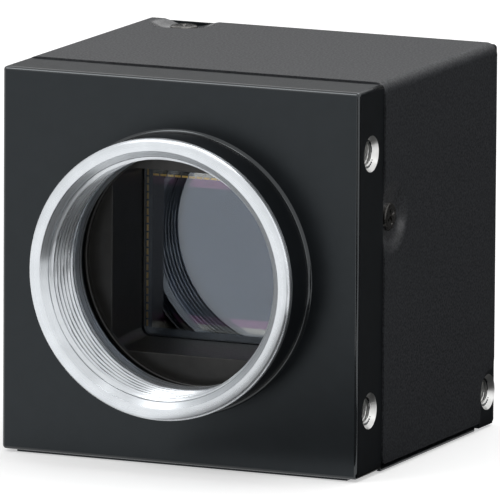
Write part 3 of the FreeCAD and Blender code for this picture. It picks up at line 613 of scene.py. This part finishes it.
def lens_thread_rows():
    """Points of the ring's thread from its run-out forwards, then of its lead-in cone."""
    count = int((LENS_THREAD_END - LENS_LEAD_IN) / LENS_PITCH * RING_TURN_ROWS)
    rows = []
    for height in spread(LENS_THREAD_END - RING_SOFT, LENS_LEAD_IN, count):
        depth = RUN_OUT_DEPTH + (LENS_THREAD_END - height) / LENS_THREAD_FADE
        rows.append((LENS_BORE_R, height, min(1.0, depth)))
    for height in spread(LENS_LEAD_IN, RING_SOFT, RING_CONE_ROWS)[1:]:
        radius = LENS_BORE_R + LENS_LEAD_IN - height
        depth = 1 - (radius - LENS_BORE_R) / LENS_THREAD_DEPTH
        rows.append((radius, height, max(0.0, depth)))
    return rows


def opened_hole(mount):
    """Cylinder of the thread's full diameter through a tapped hole's countersink and wall."""
    axis = Vector(mount["axis"])
    length = mount["dims"]["length_mm"] * MM
    inner_end = Vector(mount["pos_m"]) - axis * (length / 2 - HOLE_CLEARANCE)
    return cylinder("cutter", inner_end, axis, M3_MAJOR_R + HOLE_CLEARANCE, length)


def thread_sleeve(mount):
    """Bare thread and countersink of a tapped hole, as a thin sleeve in the opened bore.
    Local Z points out of the hole."""
    length = mount["dims"]["length_mm"] * MM
    core = mount["dims"]["r_mm"] * MM
    axis = Vector(mount["axis"])
    depth = M3_MAJOR_R - core
    mouth = length + M3_SINK_R - core
    skin = SLEEVE_SKIN
    profile = [(M3_MAJOR_R + skin, 0, 0), (M3_MAJOR_R + skin, length, 0),
               (M3_SINK_R - skin / 2, mouth - skin, 0)]
    for height in spread(mouth - skin, length + skin, SLEEVE_SINK_ROWS):
        radius = core + height - length
        profile.append((radius - skin, height, max(0.0, 1 - (radius - core) / depth)))
    rows = int(length / M3_PITCH * SLEEVE_TURN_ROWS)
    profile += [(core, height, 1.0) for height in spread(length - skin, 0, rows)]
    obj = lathe("sleeve", profile, SLEEVE_SEGMENTS, M3_PITCH, depth)
    obj.data.transform(axis_frame(Vector(mount["pos_m"]) - axis * length / 2, axis))
    return obj


def side_threads():
    return shade(join("side_threads", [thread_sleeve(m) for m in TAPPED]), angle=40)


# ---- Body -------------------------------------------------------------------------------------
def opened_body(node, name, end):
    """Machined piece with soft edges, its side holes opened to the thread's full diameter."""
    obj = cut(cad_copy(node, name), [opened_hole(m) for m in TAPPED if end in m["name"]])
    return bevelled(obj, BODY_EDGE, segments=2, angle=40)


def dented_spacing(start, end, dents):
    """Places from start to end: close together round each dent, and wide apart elsewhere."""
    reach = DIMPLE_R + DIMPLE_MARGIN
    places = set(spread(start, end, max(2, int((end - start) / COARSE_STEP))))
    for dent in dents:
        near = spread(dent - reach, dent + reach, int(2 * reach / FINE_STEP))
        places |= {place for place in near if start < place < end}
    ordered = sorted(places)
    kept = [ordered[0]]
    for place in ordered[1:-1]:
        if place - kept[-1] > FINE_STEP / 2 and ordered[-1] - place > FINE_STEP / 2:
            kept.append(place)
    return kept + [ordered[-1]]


def skirt_foot(y):
    """Height of the skirt's lower edge, rounded up at the front corner."""
    inside = max(0.0, SKIRT_CORNER_R - (y - COVER_LO.y))
    return COVER_LO.z + SKIRT_CORNER_R - math.sqrt(SKIRT_CORNER_R ** 2 - inside ** 2)


def sheet_section(y):
    """Points and outward normals across the folded sheet's outside, left foot to right foot."""
    bend_z = COVER_HI.z - BEND_R
    bend_x = COVER_HI.x - BEND_R
    side = dented_spacing(COVER_LO.z, bend_z, [SIDE_DIMPLE.z])
    share = (bend_z - skirt_foot(y)) / (bend_z - COVER_LO.z)
    side = [bend_z - (bend_z - z) * share for z in side]
    top = dented_spacing(-bend_x, bend_x, [TOP_DIMPLE.x])
    turn = [math.radians(90 * k / BEND_STEPS) for k in range(1, BEND_STEPS)]
    section = [((-COVER_HI.x, z), (-1, 0)) for z in side]
    section += [((-bend_x - BEND_R * math.cos(a), bend_z + BEND_R * math.sin(a)),
                 (-math.cos(a), math.sin(a))) for a in turn]
    section += [((x, COVER_HI.z), (0, 1)) for x in top]
    section += [((bend_x + BEND_R * math.sin(a), bend_z + BEND_R * math.cos(a)),
                 (math.sin(a), math.cos(a))) for a in turn]
    section += [((COVER_HI.x, z), (1, 0)) for z in reversed(side)]
    return section


def dent_depth(point):
    """How far the pressed dimples push a point of the outside inwards."""
    for centre, inward in DIMPLES:
        gap = point - centre
        if abs(gap.dot(inward)) < FACE_REACH:
            share = (DIMPLE_R - gap.length) / (DIMPLE_R - DIMPLE_FLOOR_R)
            share = min(1.0, max(0.0, share))
            smooth = share * share * (3 - 2 * share)
            if share > 0:
                return DIMPLE_DEPTH * (DIMPLE_ROUND * smooth + DIMPLE_CONE * share)
    return 0.0


def sheet_points(ys):
    """Points of the sheet's outside and inside, row by row along Y. The front edge of its top
    stands a little forward, which narrows the seam there."""
    outer, inner = [], []
    for y in ys:
        for (x, z), (nx, nz) in sheet_section(y):
            lip = SEAM_FILL if y == ys[0] and z > COVER_HI.z - BEND_R else 0.0
            point, normal = Vector((x, y - lip, z)), Vector((nx, 0, nz))
            depth = dent_depth(point)
            outer.append(point - normal * depth)
            inner.append(point - normal * (depth + SHEET_T))
    return outer, inner


def sheet_faces(rows, wide):
    """Faces that close a sheet whose inside's points follow its outside's."""
    half = rows * wide
    faces = []
    for i in range(rows - 1):
        for k in range(wide - 1):
            a, b = i * wide + k, (i + 1) * wide + k
            faces.append((a, a + 1, b + 1, b))
            faces.append((half + a, half + b, half + b + 1, half + a + 1))
        for k in (0, wide - 1):
            a, b = i * wide + k, (i + 1) * wide + k
            rim = (a, b, half + b, half + a)
            faces.append(rim if k == 0 else rim[::-1])
    for i in (0, rows - 1):
        for k in range(wide - 1):
            a = i * wide + k
            rim = (a + 1, a, half + a, half + a + 1)
            faces.append(rim if i == 0 else rim[::-1])
    return faces


def sheet_cover():
    """The folded cover as one closed sheet, with its dimples, screw holes and corner notches."""
    ys = dented_spacing(COVER_LO.y, COVER_HI.y, [SIDE_DIMPLE.y, TOP_DIMPLE.y])
    outer, inner = sheet_points(ys)
    obj = mesh_object("sheet_cover", outer + inner, sheet_faces(len(ys), len(outer) // len(ys)))
    holes = [cylinder("cutter", centre - inward * CUT_PAST, inward, SCREW_HOLE_R,
                      SCREW_HOLE_CUT)
             for centre, inward in DIMPLES]
    return bevelled(cut(obj, holes + [corner_notch()]), SHEET_EDGE, segments=3, angle=50)


def corner_notch():
    """Cutter through both skirts for the rear panel's corner tabs: round the hole, then out to
    the edge."""
    hole = Vector(MOUNTS["right_rear_hole"]["pos_m"])
    end = COVER_HI.y
    turn = math.acos((end - NOTCH_BLEND_R - hole.y) / (NOTCH_R + NOTCH_BLEND_R))
    blend_y = end - NOTCH_BLEND_R
    blend_z = hole.z + (NOTCH_R + NOTCH_BLEND_R) * math.sin(turn)
    outline = [(hole.y - NOTCH_R, COVER_LO.z - CUT_PAST)]
    outline += [(hole.y + NOTCH_R * math.cos(a), hole.z + NOTCH_R * math.sin(a))
                for a in spread(math.pi, turn, NOTCH_STEPS)]
    outline += [(blend_y + NOTCH_BLEND_R * math.cos(a), blend_z + NOTCH_BLEND_R * math.sin(a))
                for a in spread(math.pi + turn, 2 * math.pi, NOTCH_BLEND_STEPS)[1:]]
    outline += [(end + CUT_PAST, outline[-1][1]), (end + CUT_PAST, COVER_LO.z - CUT_PAST)]
    return prism_x("cutter", outline, -COVER_HI.x - CUT_PAST, COVER_HI.x + CUT_PAST)


def prism_x(name, outline, x0, x1):
    """Closed prism along X over (y, z) points."""
    count = len(outline)
    verts = [(x, y, z) for x in (x0, x1) for y, z in outline]
    faces = [tuple(range(count)), tuple(range(2 * count - 1, count - 1, -1))]
    faces += [(k, count + k, count + (k + 1) % count, (k + 1) % count) for k in range(count)]
    obj = mesh_object(name, verts, faces, smooth=False)
    bm = bmesh.new()
    bm.from_mesh(obj.data)
    bmesh.ops.recalc_face_normals(bm, faces=bm.faces)
    bm.to_mesh(obj.data)
    bm.free()
    return obj


def low_screw(centre, inward):
    """Low-head cross-recess screw seated on a dimple's floor. Local Z points out."""
    r, h = SCREW_HEAD_R, LOW_HEAD
    profile = [(LATHE_AXIS_R, -SCREW_LENGTH, 0), (SCREW_R - SCREW_TIP, -SCREW_LENGTH, 0),
               (SCREW_R, -SCREW_LENGTH + SCREW_TIP, 0), (SCREW_R, 0, 0), (r, 0, 0)]
    profile += [(r - inset * MM, h * share, 0) for inset, share in HEAD_DOME]
    obj = lathe("screw", profile + [(LATHE_AXIS_R, h, 0)], SCREW_SEGMENTS)
    wings = []
    for angle in RECESS_TURNS:
        wing = tapered_bar("cutter", RECESS_TOP, RECESS_FLOOR, RECESS_HEIGHT)
        wing.data.transform(Matrix.Translation((0, 0, h - RECESS_DEPTH))
                            @ Matrix.Rotation(math.radians(angle), 4, "Z"))
        wings.append(wing)
    cut(obj, wings)
    obj.data.transform(axis_frame(centre + inward * DIMPLE_DEPTH, -inward))
    return obj


def tapered_bar(name, top, low, height):
    """Bar on the XY plane from a low (length, width) to that of its top, at the height."""
    verts = [(sx * length / 2, sy * width / 2, z)
             for (length, width), z in ((low, 0), (top, height))
             for sx, sy in ((-1, -1), (1, -1), (1, 1), (-1, 1))]
    faces = [(3, 2, 1, 0), (4, 5, 6, 7)]
    faces += [(k, (k + 1) % 4, 4 + (k + 1) % 4, 4 + k) for k in range(4)]
    return mesh_object(name, verts, faces, smooth=False)


def cover_screws():
    screws = [low_screw(centre, inward) for centre, inward in DIMPLES]
    return shade(join("low_screws", screws), angle=35)


# ---- Sensor -----------------------------------------------------------------------------------
def pad_row(start, end, across, y, upright):
    """Thin gold fingers in a line: along Z at X = across when upright, else along X at that Z."""
    count = int((end - start) / PAD_PITCH)
    size_x, size_z = (PAD_WIDE, PAD_LONG) if upright else (PAD_LONG, PAD_WIDE)
    made = []
    for place in spread(start + PAD_PITCH / 2, end - PAD_PITCH / 2, count):
        x, z = (across, place) if upright else (place, across)
        made.append(box_object("pad", (x - size_x / 2, y - PAD_THICK, z - size_z / 2),
                               (x + size_x / 2, y, z + size_z / 2)))
    return made


def bond_pads():
    """Gold fingers on the ledge at the die's left and right, and along the die's top margin."""
    made = []
    for side in (-1, 1):
        made += pad_row(DIE_LO.z, DIE_HI.z, side * (DIE_HI.x + PAD_SETBACK),
                        DIE_LO.y + LEDGE_SINK, True)
    top = AXIS_Z + (PICTURE_EDGE + BAND) * MM + PAD_WIDE / 2
    made += pad_row(DIE_LO.x, DIE_HI.x, top, DIE_LO.y, False)
    return join("bond_pads", made)


def die_ledge():
    """Ceramic ledge that fills the package's cavity round the die."""
    half_z = (DIE_HI.z - DIE_LO.z) / 2
    out_x, out_z = DIE_HI.x + DIE_GAP - LEDGE_CLEARANCE, half_z + DIE_GAP - LEDGE_CLEARANCE
    in_x, in_z = DIE_HI.x + LEDGE_CLEARANCE, half_z + LEDGE_CLEARANCE
    y0, y1 = DIE_LO.y + LEDGE_SINK, DIE_HI.y
    bars = []
    for side in (-1, 1):
        middle, half = side * (in_x + out_x) / 2, (out_x - in_x) / 2
        bars.append(box_object("bar", (middle - half, y0, AXIS_Z - out_z),
                               (middle + half, y1, AXIS_Z + out_z)))
    for side in (-1, 1):
        middle, half = AXIS_Z + side * (in_z + out_z) / 2, (out_z - in_z) / 2
        bars.append(box_object("bar", (-in_x, y0, middle - half), (in_x, y1, middle + half)))
    return bevelled(join("die_ledge", bars), LEDGE_EDGE, segments=2, angle=30)


def throat_ring():
    """Thin black ring in the corner between the throat and the mask. Local Z runs back."""
    out_r, in_r = THROAT_R - THROAT_CLEARANCE, THROAT_R - THROAT_RING_WIDTH
    back, front = MASK_FACE - THROAT_CLEARANCE, MASK_FACE - THROAT_RING_LENGTH
    lip = THROAT_RING_LIP
    profile = [(out_r, back, 0), (in_r, back, 0), (in_r, front + lip, 0),
               (in_r + lip * LIP_ROUND, front + lip * LIP_ROUND, 0), (in_r + lip, front, 0),
               (out_r - lip, front, 0), (out_r, front + lip, 0)]
    obj = lathe("throat_ring", profile[::-1], THROAT_RING_SEGMENTS)
    obj.data.transform(OPTICAL)
    return shade(obj, angle=50)


# ---- Stage ------------------------------------------------------------------------------------
def white_world():
    """Surroundings that are white to the camera and to reflections, and light less than that."""
    world = bpy.data.worlds.new("studio")
    bpy.context.scene.world = world
    world.use_nodes = True
    tree = Tree(world.node_tree)
    back = tree.nodes["Background"]
    back.inputs["Color"].default_value = colour(1.0)
    level = tree.remap(tree.background_rays(), low=WORLD_LIGHT, high=1.0)
    tree.links.new(level, back.inputs["Strength"])


def pale_floor():
    """Pale floor that glows to the camera and to reflections, up to the background's white."""
    floor = box_object("floor", FLOOR_LO, FLOOR_HI)
    shader = Shader("floor").set(Base_Color=colour(0.80), Roughness=0.9, Specular_IOR_Level=0.0,
                                 Emission_Color=colour(1.0))
    shader.link(shader.remap(shader.background_rays(), high=FLOOR_GLOW), "Emission Strength")
    floor.data.materials.append(shader.material)


def flag(name, lo, hi, tone):
    """Dark studio card that only reflections see, so the sides turned to it stay dark."""
    card = box_object(name, lo, hi)
    shader = Shader(name).set(Base_Color=colour(tone), Specular_IOR_Level=0.0)
    card.data.materials.append(shader.material)
    card.visible_camera = False
    card.visible_diffuse = False
    card.visible_shadow = False


def area_light(name, place, size, power):
    """Soft lamp turned to the object."""
    data = bpy.data.lights.new(name, "AREA")
    data.shape = "RECTANGLE"
    data.size, data.size_y = size
    data.energy = power
    obj = add_object(name, data)
    obj.location = place
    obj.rotation_mode = "QUATERNION"
    obj.rotation_quaternion = (Vector(LAMP_TARGET) - Vector(place)).to_track_quat("-Z", "Y")


def camera():
    """Three-quarter view from the right and a little above, from a long way off."""
    data = bpy.data.cameras.new("camera")
    data.sensor_width = CAMERA_SENSOR
    data.lens = CAMERA_LENS
    data.clip_end = CAMERA_REACH
    obj = add_object("camera", data)
    turn = (Matrix.Rotation(math.radians(CAMERA_YAW), 4, "Z")
            @ Matrix.Rotation(math.radians(CAMERA_PITCH), 4, "X")
            @ Matrix.Rotation(math.radians(CAMERA_ROLL), 4, "Y")
            @ Matrix.Rotation(math.radians(90), 4, "X"))
    obj.matrix_world = Matrix.Translation(CAMERA_PLACE) @ turn
    bpy.context.scene.camera = obj


bpy.context.scene.view_settings.view_transform = "Standard"
camera()
white_world()
pale_floor()
for settings in LAMPS:
    area_light(*settings)
for settings in FLAGS:
    flag(*settings)

BLACK = anodised_black()
COAT = powder_coat()
MASK = moulded_black()
ALUMINIUM = turned_aluminium()
THREAD = cut_thread_metal()
STEEL = plain_shader("black_oxide_steel", (0.08, 0.078, 0.075), (0.15, 0.145, 0.14),
                     0.22, 0.32, 600, metallic=0.95, grain=0.001)
ZINC = plain_shader("zinc_steel", (0.50, 0.50, 0.48), (0.66, 0.66, 0.62),
                    0.25, 0.35, 900, metallic=1.0, grain=0.0006)
GOLD = plain_shader("gold_flash", (0.80, 0.56, 0.20), (0.92, 0.66, 0.28),
                    0.20, 0.30, 600, metallic=1.0, grain=0.0006)
BOND_GOLD = plain_shader("bond_gold", (0.90, 0.48, 0.08), (1.00, 0.60, 0.13),
                         0.30, 0.42, 600, metallic=1.0, grain=0.0006)
BRASS = plain_shader("spacer_brass", (0.62, 0.46, 0.20), (0.76, 0.58, 0.28),
                     0.25, 0.35, 600, metallic=1.0, grain=0.0006)
PLATED = plain_shader("plated_shell", (0.62, 0.62, 0.60), (0.68, 0.68, 0.66),
                      0.20, 0.26, 250, metallic=1.0, grain=0.0003)
BRIGHT = plain_shader("bright_steel", (0.65, 0.65, 0.64), (0.72, 0.72, 0.71),
                      0.20, 0.26, 250, metallic=1.0, grain=0.0003)
RUBBER = plain_shader("black_rubber", (0.012, 0.012, 0.012), (0.022, 0.022, 0.022),
                      0.6, 0.75, 1200)
CERAMIC = plain_shader("black_ceramic", (0.018, 0.018, 0.019), (0.030, 0.030, 0.031),
                       0.5, 0.62, 1500)
CHIP = plain_shader("chip_moulding", (0.030, 0.030, 0.032), (0.048, 0.048, 0.050),
                    0.5, 0.65, 1600)
INSULATOR = plain_shader("connector_moulding", (0.022, 0.022, 0.023), (0.036, 0.036, 0.037),
                         0.4, 0.52, 1100)
BOARD = circuit_board()

piece(lens_ring(), "bare_aluminium", ALUMINIUM, "lens_mount_ring")
piece(side_threads(), "bare_aluminium", THREAD)
piece(opened_body("front_block", "front_body", "front"), "black_anodised", BLACK, "front_block")
piece(opened_body("rear_panel", "rear_body", "rear"), "black_anodised", BLACK, "rear_panel")
piece(sheet_cover(), "black_powder_coat", COAT, "top_cover")
piece(cover_screws(), "black_steel", STEEL, "cover_screws")
piece(bevelled(cad_copy("sensor_mask", "light_mask"), MASK_EDGE, segments=3, angle=28),
      "black_moulding", MASK, "sensor_mask")
for node, name, slot, material, edge in (
        ("base_plate", "foot_plate", "black_anodised", BLACK, FOOT_EDGE),
        ("io_shell", "round_shell", "plated_shell", PLATED, SHELL_EDGE),
        ("io_nut", "round_nut", "plated_shell", PLATED, NUT_EDGE),
        ("data_socket", "socket_shell", "bright_steel", BRIGHT, SOCKET_EDGE)):
    piece(bevelled(cad_copy(node, name), edge, segments=2, angle=35), slot, material, node)
piece(throat_ring(), "black_moulding", MASK)
piece(die_ledge(), "black_ceramic", CERAMIC)
piece(bond_pads(), "gold_contact", BOND_GOLD)

# CAD nodes that keep their own shape and only take a material
for material, nodes in ((ZINC, ["mask_screws", "interface_screws"]),
                        (RUBBER, ["glass_gasket"]), (coated_glass(), ["cover_glass"]),
                        (CERAMIC, ["sensor_package"]), (sensor_silicon(), ["sensor_die"]),
                        (BOARD, ["sensor_board", "processor_board", "interface_board"]),
                        (BRASS, ["front_spacers", "rear_spacers"]),
                        (CHIP, ["processor_chip", "memory_chips"]),
                        (INSULATOR, ["board_links", "data_contacts", "io_insert"]),
                        (STEEL, ["base_screws"]), (GOLD, ["io_pins"]),
                        (lamp_lens(), ["status_lamp"])):
    for node in nodes:
        frame["nodes"][node].data.materials[0] = material
